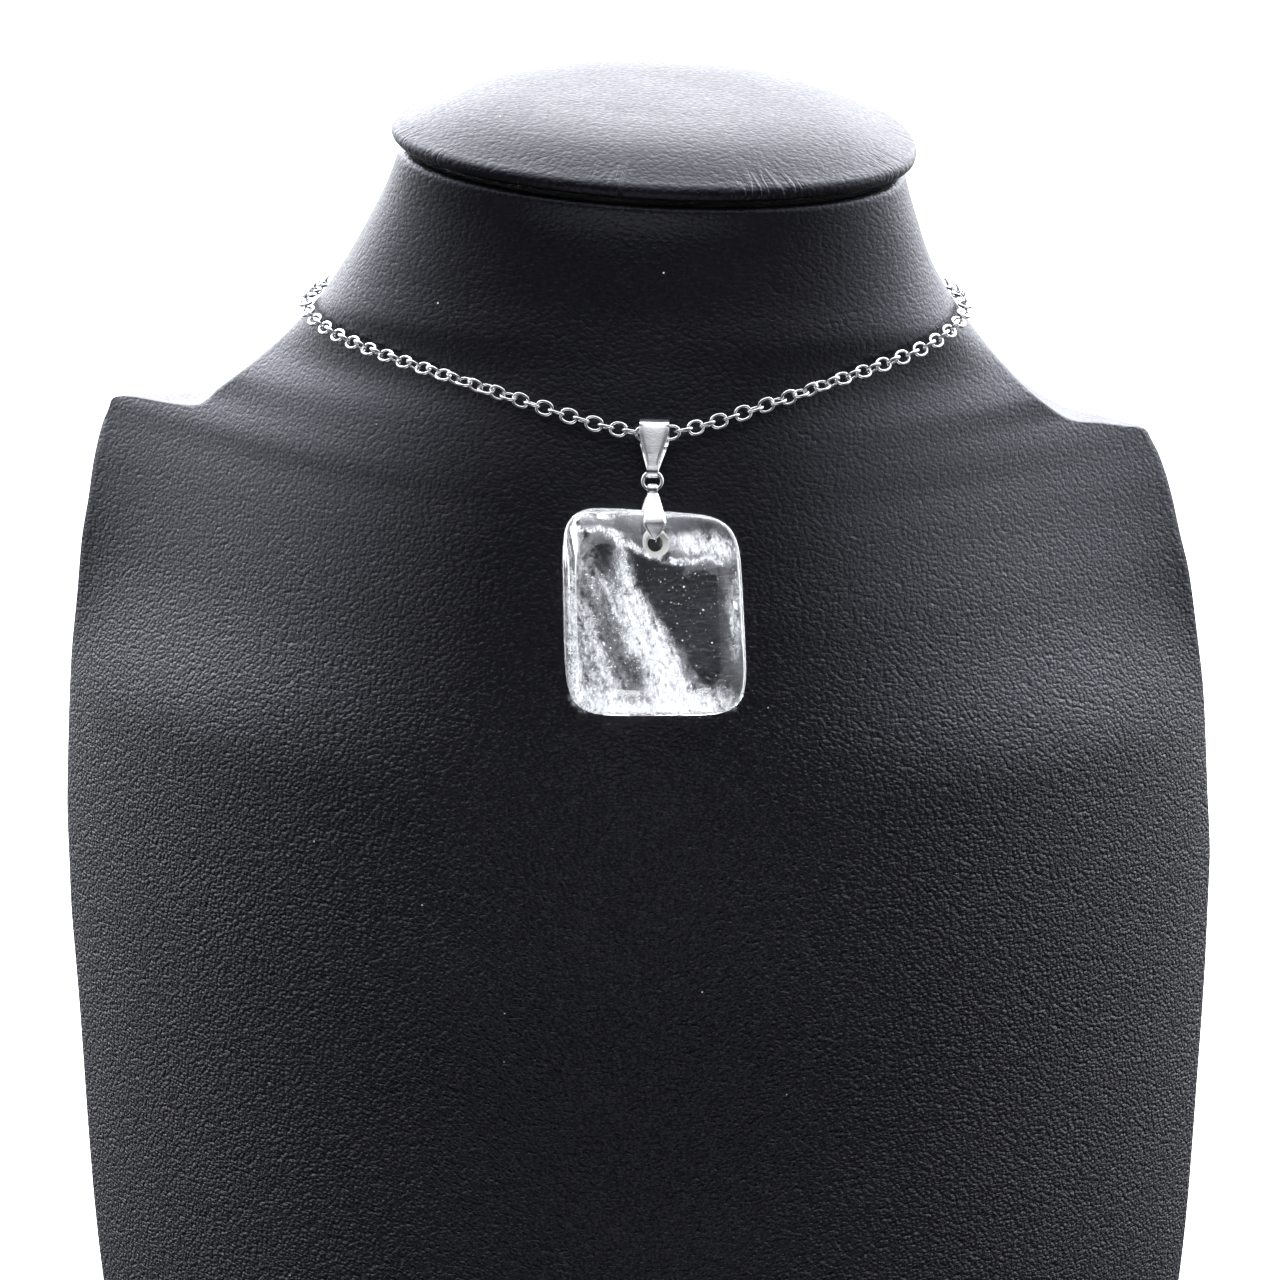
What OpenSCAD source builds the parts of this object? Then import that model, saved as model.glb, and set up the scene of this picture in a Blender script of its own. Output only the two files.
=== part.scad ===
// Rock crystal pendant on a fine chain, shown on a neck bust.
// +Z up, -Y toward the viewer, +X to the viewer's right, millimetres.
// The origin is the middle of the bust's flat base.

/* [Stone] */
// thickness of the stone, front to back
stone_t = 6; // [4:0.1:10]
// corners of the stone as x and z from its middle: low left, low right, high right, high left
stone_corners = [[-12.9, -15.1], [14.4, -15.2], [12.9, 14.3], [-13.6, 16.1]]; // [-20:0.1:20]
// squareness of the stone's outline, 2 is an oval
stone_square = 5.6; // [2:0.1:12]
// diameter of the hole drilled through the stone
hole_d = 2.4; // [1.5:0.1:4]
// diameter of the hole's flared mouths, front and back
hole_mouth = 3.8; // [2.4:0.1:5]
// height of the hole above the stone's middle
hole_z = 10.3; // [6:0.1:13]
// sideways place of the hole
hole_x = 0.4; // [-3:0.1:3]

/* [Hanging] */
// place of the stone's middle in front of the chest
stone_at = [3.8, -43.7, 148.2]; // [-60:0.1:200]
// how far the stone leans back with the chest, degrees
stone_lean = 11; // [0:1:30]
// how far the stone hangs off plumb, degrees
stone_plumb = 1.8; // [-10:0.1:10]
// how far the stone is turned to the viewer's right, degrees
stone_turn = 8; // [-20:1:20]
// how far the ring leans back, degrees
ring_lean = 25; // [0:1:60]
// how far the top loop leans back, degrees
bail_lean = 38; // [0:1:60]

/* [Findings] */
// thickness of the silver strip
strip_t = 0.5; // [0.3:0.05:1]
// radius of the jump ring at the middle of its wire
ring_r = 1.4; // [1:0.05:3]
// wire radius of the jump ring
ring_wire = 0.3; // [0.2:0.01:0.6]
// width of the pinch clasp at its widest
pinch_w = 3.4; // [2:0.1:6]
// width of the pinch clasp at its eye
pinch_eye_w = 1.9; // [1:0.1:4]
// radius of the pins of the pinch clasp
pin_r = 0.33; // [0.2:0.01:1]
// width of the top loop where the chain runs through
bail_w = 4.4; // [2:0.1:8]
// width of the top loop at its lower end
bail_tip_w = 1.7; // [1:0.1:4]
// inside radius of the top loop
bail_bore = 1.7; // [1:0.05:3]

/* [Chain] */
// radius of the round space that the links fill
chain_r = 1.1; // [0.5:0.05:3]
// height of the chain in front, at the pendant
chain_low = 172.5; // [150:0.1:200]
// rise of the chain from the pendant to the nape
chain_rise = 16.6; // [0:0.1:40]
// turn round the neck over which most of the rise happens, degrees
chain_sweep = 48; // [20:1:120]
// sideways place of the pendant on the chain
chain_x = 3; // [-10:0.1:10]

/* [Bust] */
// outer points of the cap from its middle: half width, front depth, back depth
cap_size = [40.4, 29, 42.6]; // [20:0.1:60]
// middle of the cap's widest line
cap_at = [0.9, 2.2, 212.9]; // [-10:0.1:240]
// rise of the cap toward the back, millimetres per millimetre
cap_slope = 0.16; // [0:0.01:0.5]
// share of that rise that goes sideways, so the right side is lower
cap_tip = 0.3; // [-1:0.01:1]
// sideways slip of the cap's back against its front, for each share of the rise
cap_skew = 0.75; // [-2:0.05:2]

/* [Hidden] */
// z, y of the widest line, y of the front's middle, back depth, back squareness, back fall,
// half width of the front's form, its sideways set, its lean to one side, rise toward the back
bust_form = [
    [0, 33, -34.5, 14.5, 6, 0.33, 90.5, 1.2, 0, 0],
    [3, 33, -36, 16, 6, 0.33, 92, 1.2, 0, 0],
    [57, 32, -39, 17, 6, 0.33, 95.5, 0.6, -0.2, 0],
    [92, 30, -42, 17, 6, 0.33, 96, 0, -0.5, 0],
    [122, 28, -42.5, 17, 6, 0.33, 94, -0.5, -0.8, 0],
    [142, 29, -40.8, 16, 6, 0.33, 92, -1, -1, 0],
    [155, 31.5, -38.2, 14, 5, 0.4, 89.5, -1.4, -1.4, 0],
    [163.5, 33.5, -35.8, 9, 2.6, 1.8, 87, -1.6, -1.4, 0],
    [168, 31.5, -34.3, 12, 2.4, 2.6, 82, -1.7, -0.8, 0],
    [173, 20, -32.5, 21, 2.3, 2, 70, -1.7, -0.2, 0],
    [178, 14.5, -30.8, 24, 2.2, 1.3, 60, -1.4, 0, 0],
    [184, 12, -28.9, 27, 2.1, 1, 53, -1, 0, 0.01],
    [194, 7.5, -26.5, 30, 2, 1, 46, -0.5, 0, 0.04],
    [204, 3, -25.5, 35.6, 2, 1, 41, 0.4, 0, 0.1],
    [210.3, 0.8, -26.2, 38, 2, 1, 38.7, 0.7, 0, 0.158]];
// z, half width of the outline, its sideways set
bust_outline = [
    [0, 90.2, 1.2], [3, 91.6, 1.3], [57, 95.2, 0.5], [80, 96, -0.2], [92, 96, -0.4], [105, 95.2, -0.8], [122, 94, -1.2],
    [132, 92.7, -1.5], [142, 91.4, -2], [148.5, 90, -2.4], [154, 89, -2.8], [160.5, 87.2, -3.3], [163, 86, -3.5],
    [164.5, 85.3, -3.7], [165.2, 84, -3.8], [165.6, 81.5, -3.3], [166, 77, -0.3], [166.7, 73.5, 0.6], [167.8, 70, -0.9],
    [170, 67, -1.6], [172, 64.6, -1.6], [176, 60, -1.4], [184, 52.5, -0.9], [194, 45.6, -0.5], [204, 41, 0.4], [210.3, 38.7, 0.7]];
// heights of the rings that the bust is drawn with
bust_heights = [0, 1.5, 3, 12, 25, 40, 55, 70, 85, 100, 112, 122, 132, 140, 147, 153, 157.5, 161, 163.2, 164.5, 165.2, 165.6, 166, 166.35, 166.7, 167.25, 167.8, 168.8, 169.9, 171.1, 172.8, 175, 177.5, 180.5, 184, 188, 192, 196, 200, 204, 206, 208, 209.3, 210.3];
bust_n = 64;
// inset from the cap's edge and height above its widest line
cap_rows = [[6, -1.9], [3, -1.9], [1.2, -1.6], [0.35, -1.15], [0, -0.35], [0.2, 0.35], [0.8, 0.8], [2, 1.25], [4, 2.05], [6.5, 3], [10, 4.05], [14, 4.8], [19, 5.35], [25, 5.65]];
// the stone from its middle out to its edge: share of the outline, share of the half thickness
stone_edge = [[0.3, 1], [0.6, 0.988], [0.7, 0.96], [0.75, 0.915], [0.78, 0.86], [0.854, 0.66], [0.927, 0.43], [0.964, 0.3], [0.985, 0.19], [0.996, 0.09], [1, 0]];
chain_n = 72;
chain_sides = 8;
// half length of the hole's straight throat
hole_throat = 0.8;
// height of the ring's lowest wire above the stone's middle
ring_bottom = 18.2;

bust_body();
neck_cap();
crystal();
pinch_clasp();
jump_ring();
bail();
chain();
clasp();

// ---- helpers ----
function sgn(v) = v < 0 ? -1 : 1;
function pw(v, e) = sgn(v) * pow(abs(v), e);
function unit(v) = v / norm(v);

// one column of the table as a smooth curve that never overshoots its rows
function slope_at(i, c, T) =
    i == 0 ? (T[1][c] - T[0][c]) / (T[1][0] - T[0][0]) :
    i == len(T) - 1 ? (T[i][c] - T[i - 1][c]) / (T[i][0] - T[i - 1][0]) :
    let (h0 = T[i][0] - T[i - 1][0], h1 = T[i + 1][0] - T[i][0],
         d0 = (T[i][c] - T[i - 1][c]) / h0, d1 = (T[i + 1][c] - T[i][c]) / h1)
    d0 * d1 <= 0 ? 0 : (3 * h1 + 3 * h0) / ((2 * h1 + h0) / d0 + (h1 + 2 * h0) / d1);
function row_of(z, T, i = 0) = (i >= len(T) - 2 || z < T[i + 1][0]) ? i : row_of(z, T, i + 1);
function column(z, c, T) =
    let (i = row_of(z, T), h = T[i + 1][0] - T[i][0], t = (z - T[i][0]) / h)
    (2 * t * t * t - 3 * t * t + 1) * T[i][c] + (t * t * t - 2 * t * t + t) * h * slope_at(i, c, T)
    + (3 * t * t - 2 * t * t * t) * T[i + 1][c] + (t * t * t - t * t) * h * slope_at(i + 1, c, T);
function smooth01(t) = let (c = min(max(t, 0), 1)) c * c * (3 - 2 * c);
function front_square(z) = 2 + 0.35 * smooth01((z - 130) / 50) - 0.35 * smooth01((z - 168) / 24);
// how hard the front falls away to its sides: most at the shoulders, round at the neck
function front_fall(z) = 1.8 + 2.8 * smooth01((z - 116) / 52) - 3.6 * smooth01((z - 160) / 27);
// share of a plain slope in that fall, so the front meets the back in a crease
function edge_slope(z) = 0.4 + 0.8 * smooth01((z - 116) / 50) - 1.2 * smooth01((z - 162) / 28);
// 0 z, 1 y of the widest line, 2 front depth, 3 back depth, 4 and 5 squareness, 6 and 7 fall, 8 to 10 the front's form,
// 11 rise, 12 and 13 the outline, 14 edge slope
function bust_row(z) =
    let (f = [for (c = [0 : 9]) c == 0 ? z : column(z, c, bust_form)])
    [z, f[1], f[1] - f[2], f[3], front_square(z), f[4], front_fall(z), f[5], f[6], f[7], f[8], f[9],
     column(z, 1, bust_outline), column(z, 2, bust_outline), edge_slope(z)];

// front of a section at x
function front_y(r, x) =
    let (off = x - r[9], t = min(abs(off) / (r[8] + sgn(off) * r[10]), 1), q = 1 - pow(t, r[4]))
    r[1] - r[2] * (pow(q, r[6] / 2) + r[14] * q) / (1 + r[14]);
// point of a section, u degrees round from the front toward the right
function section_pt(r, u) =
    let (front = cos(u) >= 0,
         x0 = r[13] + r[12] * (front ? sin(u) : pw(sin(u), 2 / r[5])),
         y = front ? front_y(r, x0) : r[1] + r[3] * pow(abs(cos(u)), r[7]),
         x = x0 + r[11] * cap_skew * (y - r[1]))
    [x, y, r[0] + r[11] * (y - cap_tip * x)];
function bust_pt(z, u) = section_pt(bust_row(z), u);
function bust_normal(z, u) = unit(cross(bust_pt(z, u + 1) - bust_pt(z, u - 1), bust_pt(z + 0.3, u) - bust_pt(z - 0.3, u)));

// closed skin over rings of equal count, lowest ring first, each running counterclockwise from above
module skin(rings) {
    n = len(rings[0]);
    m = len(rings);
    pts = [for (r = rings) each r];
    faces = concat(
        [[for (k = [0 : n - 1]) k]],
        [for (j = [0 : m - 2]) for (k = [0 : n - 1]) let (a = j * n + k, b = j * n + (k + 1) % n) each [[a, a + n, b + n], [a, b + n, b]]],
        [[for (k = [n - 1 : -1 : 0]) (m - 1) * n + k]]);
    polyhedron(points = pts, faces = faces, convexity = 6);
}

// ---- bust ----
module bust_body() {
    color([0.16, 0.16, 0.18])
        skin([for (z = bust_heights) let (r = bust_row(z)) [for (k = [0 : bust_n - 1]) section_pt(r, 360 * k / bust_n)]]);
}

function cap_pt(inset, h, u) =
    let (y = cap_at[1] + (cos(u) >= 0 ? -(cap_size[1] - inset * 0.9) : -(cap_size[2] - inset)) * cos(u),
         x = cap_at[0] + (cap_size[0] - inset) * sin(u) + cap_slope * cap_skew * (y - cap_at[1]))
    [x, y, cap_at[2] + h + cap_slope * (y - cap_tip * x)];
module neck_cap() {
    color([0.18, 0.18, 0.2])
        skin([for (c = cap_rows) [for (k = [0 : 63]) cap_pt(c[0], c[1], 360 * k / 64)]]);
}

// ---- stone ----
// the corner square is drawn out to the four corners
function stone_xz(a, b) =
    ((1 - a) * (1 - b) * stone_corners[0] + (1 + a) * (1 - b) * stone_corners[1]
    + (1 + a) * (1 + b) * stone_corners[2] + (1 - a) * (1 + b) * stone_corners[3]) / 4;
// the outline drawn in to a share of its size, u round it; the bevel is wider on the right, most of all at the top right
function stone_pt(share, u, y) =
    let (k = 2 / stone_square, wide = 1 + 0.35 * pow(max(cos(u), 0), 1.5) + 0.75 * exp(-pow((wrap(u) - 62) / 26, 2)),
         s = 1 - (1 - share) * (1 + (wide - 1) * min(1, share / 0.6)),
         q = stone_xz(s * pw(cos(u), k), s * pw(sin(u), k)))
    [q[0], y, q[1]];
function stone_ring(e, side) = [for (k = [0 : 55]) stone_pt(e[0], 360 * k / 56, side * e[1] * stone_t / 2)];
module stone_frame() {
    translate(stone_at) rotate([-stone_lean, 0, 0]) rotate([0, -stone_plumb, 0]) children();
}
module crystal() {
    color([0.86, 0.88, 0.9, 0.6])
        stone_frame() rotate([0, 0, stone_turn]) difference() {
            skin([for (e = stone_edge) stone_ring(e, 1), for (i = [len(stone_edge) - 2 : -1 : 0]) stone_ring(stone_edge[i], -1)]);
            translate([hole_x, 0, hole_z]) {
                rotate([90, 0, 0]) cylinder(d = hole_d, h = 3 * stone_t, center = true, $fn = 48);
                for (s = [-1, 1]) rotate([s * 90, 0, 0]) translate([0, 0, hole_throat]) cylinder(d1 = hole_d, d2 = hole_mouth, h = stone_t / 2 - hole_throat + 0.01, $fn = 48);
            }
        }
}

// ---- pinch clasp: two legs that close on the stone and hold it by pins in its hole ----
leg_y = stone_t / 2 + 0.2;
module leg_side(t) {
    // side view of one leg, y outward and z up, from the eye to the tip
    polygon([[0.5, ring_bottom - 0.4], [1.15, 16.2], [leg_y - 0.5, 14.9], [leg_y, 13.4], [leg_y, 10.9],
        [leg_y + t * 0.8, 10.9], [leg_y + t + 0.12, 12.9], [leg_y + t * 0.8, 14.7], [2.2, 16.3], [0.97, ring_bottom]]);
}
module pinch_clasp() {
    color([0.8, 0.8, 0.82])
        stone_frame() rotate([0, 0, stone_turn]) {
            intersection() {
                rotate([90, 0, 90]) linear_extrude(height = pinch_w + 1, center = true) {
                    leg_side(strip_t);
                    mirror([1, 0]) leg_side(strip_t);
                    translate([0, ring_bottom]) difference() {
                        circle(r = 1, $fn = 32);
                        circle(r = 0.65, $fn = 32);
                    }
                }
                rotate([90, 0, 0]) linear_extrude(height = 12, center = true)
                    polygon([[-0.7, 19.2], [-0.7, 17.7], [-pinch_eye_w / 2, 17.1], [-pinch_w / 2, 13.4], [-pinch_w / 2 + 0.25, 12.7], [-0.35, 11],
                        [0.35, 11], [pinch_w / 2 - 0.25, 12.7], [pinch_w / 2, 13.4], [pinch_eye_w / 2, 17.1], [0.7, 17.7], [0.7, 19.2]]);
            }
            for (s = [-1, 1]) translate([0, s * (leg_y + 0.2), 11.25]) rotate([s * 90, 0, 0]) cylinder(r = pin_r, h = leg_y + 0.2 - 1.8, $fn = 24);
        }
}

// ---- jump ring ----
module ring_frame() {
    stone_frame() translate([0, 0, ring_bottom]) rotate([-(ring_lean - stone_lean), 0, 0]) children();
}
module jump_ring() {
    color([0.8, 0.8, 0.82])
        ring_frame() translate([0, 0, ring_r]) rotate([90, 0, 0]) rotate_extrude($fn = 64) translate([ring_r, 0]) circle(r = ring_wire, $fn = 20);
}

// ---- top loop: a strip that is wide over the chain and narrow at the ring ----
bail_len = 6.5;
module bail_frame() {
    ring_frame() translate([0, 0, 2 * ring_r]) rotate([-(bail_lean - ring_lean), stone_plumb, 0]) children();
}
module bail() {
    color([0.8, 0.8, 0.82])
        bail_frame() intersection() {
            rotate([90, 0, 90]) linear_extrude(height = bail_w + 1, center = true) difference() {
                hull() {
                    circle(r = 1.1, $fn = 32);
                    translate([0, bail_len]) circle(r = bail_bore + strip_t * 0.8, $fn = 40);
                }
                hull() {
                    circle(r = 0.77, $fn = 32);
                    translate([0, bail_len]) circle(r = bail_bore, $fn = 40);
                }
            }
            rotate([90, 0, 0]) linear_extrude(height = 12, center = true)
                polygon([[-bail_tip_w / 2, -1.5], [-bail_tip_w / 2, 0.6], [-bail_w / 2, bail_len - 0.8], [-bail_w / 2, bail_len + 3],
                    [bail_w / 2, bail_len + 3], [bail_w / 2, bail_len - 0.8], [bail_tip_w / 2, 0.6], [bail_tip_w / 2, -1.5]]);
        }
}

// ---- chain: the round space that the links fill, on its way round the neck ----
function turn_at_x(z, x) = let (r = bust_row(z)) asin((x - r[13]) / r[12]);
chain_u0 = turn_at_x(chain_low, chain_x);
function near_front(u) = exp(-pow((u - chain_u0) / 6, 4));
function near_back(u) = exp(-pow((abs(u) - 180) / 11, 2));
function chain_z(u) = let (d = sqrt(pow(u - chain_u0, 2) + 16) - 4) chain_low + chain_rise * (1 - exp(-d / chain_sweep)) + 1.4 * sin(u);
function chain_pt(u) = let (z = chain_z(u)) bust_pt(z, u) + bust_normal(z, u) * (chain_r + 0.3 + 1.5 * near_front(u) + 0.8 * near_back(u));
function chain_u(k) = chain_u0 + 360 * k / chain_n;
function wrap(u) = u > 180 ? u - 360 : u;
chain_route = [for (k = [0 : chain_n - 1]) chain_pt(wrap(chain_u(k)))];
module chain() {
    color([0.78, 0.78, 0.8]) {
        n = chain_sides;
        pts = [for (k = [0 : chain_n - 1])
            let (p = chain_route[k], a = chain_route[(k + chain_n - 1) % chain_n], b = chain_route[(k + 1) % chain_n],
                 t = unit(b - a), s = unit(cross(t, [0, 0, 1])), w = cross(s, t))
            for (j = [0 : n - 1]) p + chain_r * (cos(360 * j / n) * s + sin(360 * j / n) * w)];
        faces = [for (k = [0 : chain_n - 1]) for (j = [0 : n - 1])
            let (a = k * n + j, b = k * n + (j + 1) % n, c = ((k + 1) % chain_n) * n + j, d = ((k + 1) % chain_n) * n + (j + 1) % n)
            each [[a, b, d], [a, d, c]]];
        polyhedron(points = pts, faces = faces, convexity = 10);
    }
}

// ---- fastener at the nape, plain because the neck hides it ----
module clasp() {
    color([0.78, 0.78, 0.8])
        translate(chain_pt(180)) rotate([0, 90, 0]) difference() {
            cylinder(r = 1.9, h = 9, center = true, $fn = 32);
            cylinder(r = 1.5, h = 12, center = true, $fn = 32);
        }
}
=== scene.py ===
import math

import bmesh
import bpy
import numpy as np
from mathutils import Matrix, Vector, noise


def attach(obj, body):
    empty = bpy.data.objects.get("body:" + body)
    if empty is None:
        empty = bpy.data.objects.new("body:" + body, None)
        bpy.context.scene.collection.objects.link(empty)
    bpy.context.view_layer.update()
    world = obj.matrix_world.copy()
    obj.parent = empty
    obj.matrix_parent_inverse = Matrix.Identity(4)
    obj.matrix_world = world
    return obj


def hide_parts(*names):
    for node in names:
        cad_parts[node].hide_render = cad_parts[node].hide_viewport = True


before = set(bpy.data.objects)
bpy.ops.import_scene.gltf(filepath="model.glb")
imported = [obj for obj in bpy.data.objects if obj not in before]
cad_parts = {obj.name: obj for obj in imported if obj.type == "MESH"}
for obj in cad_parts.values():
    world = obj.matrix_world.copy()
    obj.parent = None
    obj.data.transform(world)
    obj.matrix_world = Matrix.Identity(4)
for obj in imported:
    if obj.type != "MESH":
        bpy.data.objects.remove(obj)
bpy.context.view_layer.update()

MM = 0.001
rng = np.random.default_rng(7)

# ---------------------------------------------------------------- sizes, in millimetres, as in the CAD
STONE_T = 6.0
STONE_CORNERS = [(-12.9, -15.1), (14.4, -15.2), (12.9, 14.3), (-13.6, 16.1)]
STONE_SQUARE = 5.6
HOLE_D, HOLE_MOUTH, HOLE_X, HOLE_Z, HOLE_THROAT = 2.4, 3.8, 0.4, 10.3, 0.8
STONE_AT = (3.8, -43.7, 148.2)
STONE_LEAN, STONE_PLUMB, STONE_TURN = 11, 1.8, 8
RING_LEAN, BAIL_LEAN = 25, 38
RING_BOTTOM, RING_R, RING_WIRE = 18.2, 1.4, 0.3
STRIP_T = 0.5
PINCH_W, PINCH_EYE_W, PIN_R = 3.4, 1.9, 0.33
LEG_Y = STONE_T / 2 + 0.2
BAIL_W, BAIL_TIP_W, BAIL_BORE, BAIL_LEN = 4.4, 1.7, 1.7, 6.5
CHAIN_R, CHAIN_LOW, CHAIN_RISE, CHAIN_SWEEP, CHAIN_X = 1.1, 172.5, 16.6, 48, 3
CAP_HALF, CAP_FRONT, CAP_BACK = 40.4, 29.0, 42.6
CAP_AT = (0.9, 2.2, 212.9)
CAP_SLOPE, CAP_TIP, CAP_SKEW = 0.16, 0.3, 0.75
# z, y of the widest line, y of the front's middle, back depth, back squareness, back fall,
# half width of the front's form, its sideways set, its lean to one side, rise toward the back
FORM = np.array([
    [0, 33, -34.5, 14.5, 6, 0.33, 90.5, 1.2, 0, 0],
    [3, 33, -36, 16, 6, 0.33, 92, 1.2, 0, 0],
    [57, 32, -39, 17, 6, 0.33, 95.5, 0.6, -0.2, 0],
    [92, 30, -42, 17, 6, 0.33, 96, 0, -0.5, 0],
    [122, 28, -42.5, 17, 6, 0.33, 94, -0.5, -0.8, 0],
    [142, 29, -40.8, 16, 6, 0.33, 92, -1, -1, 0],
    [155, 31.5, -38.2, 14, 5, 0.4, 89.5, -1.4, -1.4, 0],
    [163.5, 33.5, -35.8, 9, 2.6, 1.8, 87, -1.6, -1.4, 0],
    [168, 31.5, -34.3, 12, 2.4, 2.6, 82, -1.7, -0.8, 0],
    [173, 20, -32.5, 21, 2.3, 2, 70, -1.7, -0.2, 0],
    [178, 14.5, -30.8, 24, 2.2, 1.3, 60, -1.4, 0, 0],
    [184, 12, -28.9, 27, 2.1, 1, 53, -1, 0, 0.01],
    [194, 7.5, -26.5, 30, 2, 1, 46, -0.5, 0, 0.04],
    [204, 3, -25.5, 35.6, 2, 1, 41, 0.4, 0, 0.1],
    [210.3, 0.8, -26.2, 38, 2, 1, 38.7, 0.7, 0, 0.158]])
# z, half width of the outline, its sideways set
OUTLINE = np.array([
    [0, 90.2, 1.2], [3, 91.6, 1.3], [57, 95.2, 0.5], [80, 96, -0.2], [92, 96, -0.4], [105, 95.2, -0.8], [122, 94, -1.2],
    [132, 92.7, -1.5], [142, 91.4, -2], [148.5, 90, -2.4], [154, 89, -2.8], [160.5, 87.2, -3.3], [163, 86, -3.5],
    [164.5, 85.3, -3.7], [165.2, 84, -3.8], [165.6, 81.5, -3.3], [166, 77, -0.3], [166.7, 73.5, 0.6], [167.8, 70, -0.9],
    [170, 67, -1.6], [172, 64.6, -1.6], [176, 60, -1.4], [184, 52.5, -0.9], [194, 45.6, -0.5], [204, 41, 0.4], [210.3, 38.7, 0.7]])
# the stone from its middle out to its edge: share of the outline, share of the half thickness
STONE_EDGE = [(0.05, 1), (0.3, 0.999), (0.45, 0.997), (0.6, 0.988), (0.68, 0.972), (0.72, 0.95), (0.75, 0.915), (0.78, 0.86), (0.854, 0.66),
              (0.927, 0.43), (0.964, 0.3), (0.985, 0.19), (0.996, 0.09), (1.0, 0.0)]
# inset from the cap's edge, height above its widest line
CAP_ROWS = [(6, -1.9), (3, -1.9), (1.2, -1.6), (0.35, -1.15), (0, -0.35), (0.2, 0.35), (0.8, 0.8), (2, 1.25),
            (4, 2.05), (6.5, 3), (10, 4.05), (14, 4.8), (19, 5.35), (25, 5.65)]


# ---------------------------------------------------------------- helpers
def unit(v):
    v = np.asarray(v, float)
    return v / np.linalg.norm(v, axis=-1, keepdims=True)


def smooth01(t):
    t = np.clip(t, 0, 1)
    return t * t * (3 - 2 * t)


def T(x, y, z):
    return Matrix.Translation((x, y, z))


def R(deg, axis):
    return Matrix.Rotation(math.radians(deg), 4, axis)


STONE_M = T(*STONE_AT) @ R(-STONE_LEAN, "X") @ R(-STONE_PLUMB, "Y")
CRYSTAL_M = STONE_M @ R(STONE_TURN, "Z")
RING_M = STONE_M @ T(0, 0, RING_BOTTOM) @ R(-(RING_LEAN - STONE_LEAN), "X")
BAIL_M = RING_M @ T(0, 0, 2 * RING_R) @ R(STONE_PLUMB, "Y") @ R(-(BAIL_LEAN - RING_LEAN), "X")


def place(M, pts):
    """Points in a local frame, in millimetres, to the row frame in metres."""
    a = np.array(M)
    return (np.asarray(pts, float) @ a[:3, :3].T + a[:3, 3]) * MM


def mesh_piece(name, verts, faces, mats, smooth=True, sharp=None, replaces=()):
    me = bpy.data.meshes.new(name)
    me.from_pydata([tuple(v) for v in verts], [], [tuple(f) for f in faces])
    me.validate()
    for m in (mats if isinstance(mats, (list, tuple)) else [mats]):
        me.materials.append(m)
    me.polygons.foreach_set("use_smooth", [smooth] * len(me.polygons))
    if sharp is not None:
        me.set_sharp_from_angle(angle=math.radians(sharp))
    me.update()
    ob = bpy.data.objects.new(name, me)
    bpy.context.scene.collection.objects.link(ob)
    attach(ob, "root")
    if replaces:
        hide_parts(*replaces)
    return ob


def outward(ob):
    bm = bmesh.new()
    bm.from_mesh(ob.data)
    bmesh.ops.recalc_face_normals(bm, faces=bm.faces)
    bm.to_mesh(ob.data)
    bm.free()


def apply_modifiers(ob):
    dg = bpy.context.evaluated_depsgraph_get()
    me = bpy.data.meshes.new_from_object(ob.evaluated_get(dg), depsgraph=dg)
    old = ob.data
    ob.modifiers.clear()
    ob.data = me
    bpy.data.meshes.remove(old)


def ring_faces(rows, cols, start=0):
    """Quads between rows of a closed ring each."""
    a = np.arange(rows - 1)[:, None] * cols + np.arange(cols)[None, :]
    b = np.arange(rows - 1)[:, None] * cols + (np.arange(cols)[None, :] + 1) % cols
    f = np.stack([a, b, b + cols, a + cols], -1).reshape(-1, 4) + start
    return [tuple(map(int, x)) for x in f]


def resample(pts, n):
    """n points evenly along an open line, ends kept."""
    d = np.concatenate([[0], np.cumsum(np.linalg.norm(np.diff(pts, axis=0), axis=1))])
    s = np.linspace(0, d[-1], n)
    return np.stack([np.interp(s, d, pts[:, k]) for k in range(pts.shape[1])], 1)


def catmull(pts, per):
    """A smooth line through the points, per steps a span."""
    P = np.asarray(pts, float)
    P = np.vstack([2 * P[0] - P[1], P, 2 * P[-1] - P[-2]])
    out = []
    for i in range(1, len(P) - 2):
        for t in np.arange(per) / per:
            out.append(0.5 * ((2 * P[i]) + (P[i + 1] - P[i - 1]) * t + (2 * P[i - 1] - 5 * P[i] + 4 * P[i + 1] - P[i + 2]) * t * t
                              + (3 * P[i] - P[i - 1] - 3 * P[i + 1] + P[i + 2]) * t ** 3))
    out.append(P[-2])
    return np.array(out)


# ---------------------------------------------------------------- bust surface, as in the CAD
def table_rows(T, z):
    """Rows of a table at heights z, on smooth curves that never overshoot its own rows."""
    h = np.diff(T[:, 0])
    d = np.diff(T, axis=0) / h[:, None]
    S = np.zeros_like(T)
    S[0], S[-1] = d[0], d[-1]
    for i in range(1, len(T) - 1):
        for c in range(1, T.shape[1]):
            a, b = d[i - 1, c], d[i, c]
            if a * b > 0:
                S[i, c] = 3 * (h[i - 1] + h[i]) / ((2 * h[i] + h[i - 1]) / a + (h[i] + 2 * h[i - 1]) / b)
    i = np.clip(np.searchsorted(T[:, 0], z, side="right") - 1, 0, len(T) - 2)
    H = h[i][:, None]
    t = ((z - T[i, 0]) / h[i])[:, None]
    return ((2 * t ** 3 - 3 * t ** 2 + 1) * T[i] + (t ** 3 - 2 * t ** 2 + t) * H * S[i]
            + (3 * t ** 2 - 2 * t ** 3) * T[i + 1] + (t ** 3 - t ** 2) * H * S[i + 1])


def front_square(z):
    return 2 + 0.35 * smooth01((z - 130) / 50) - 0.35 * smooth01((z - 168) / 24)


def front_fall(z):
    """How hard the front falls away to its sides: most at the shoulders, round at the neck."""
    return 1.8 + 2.8 * smooth01((z - 116) / 52) - 3.6 * smooth01((z - 160) / 27)


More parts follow.
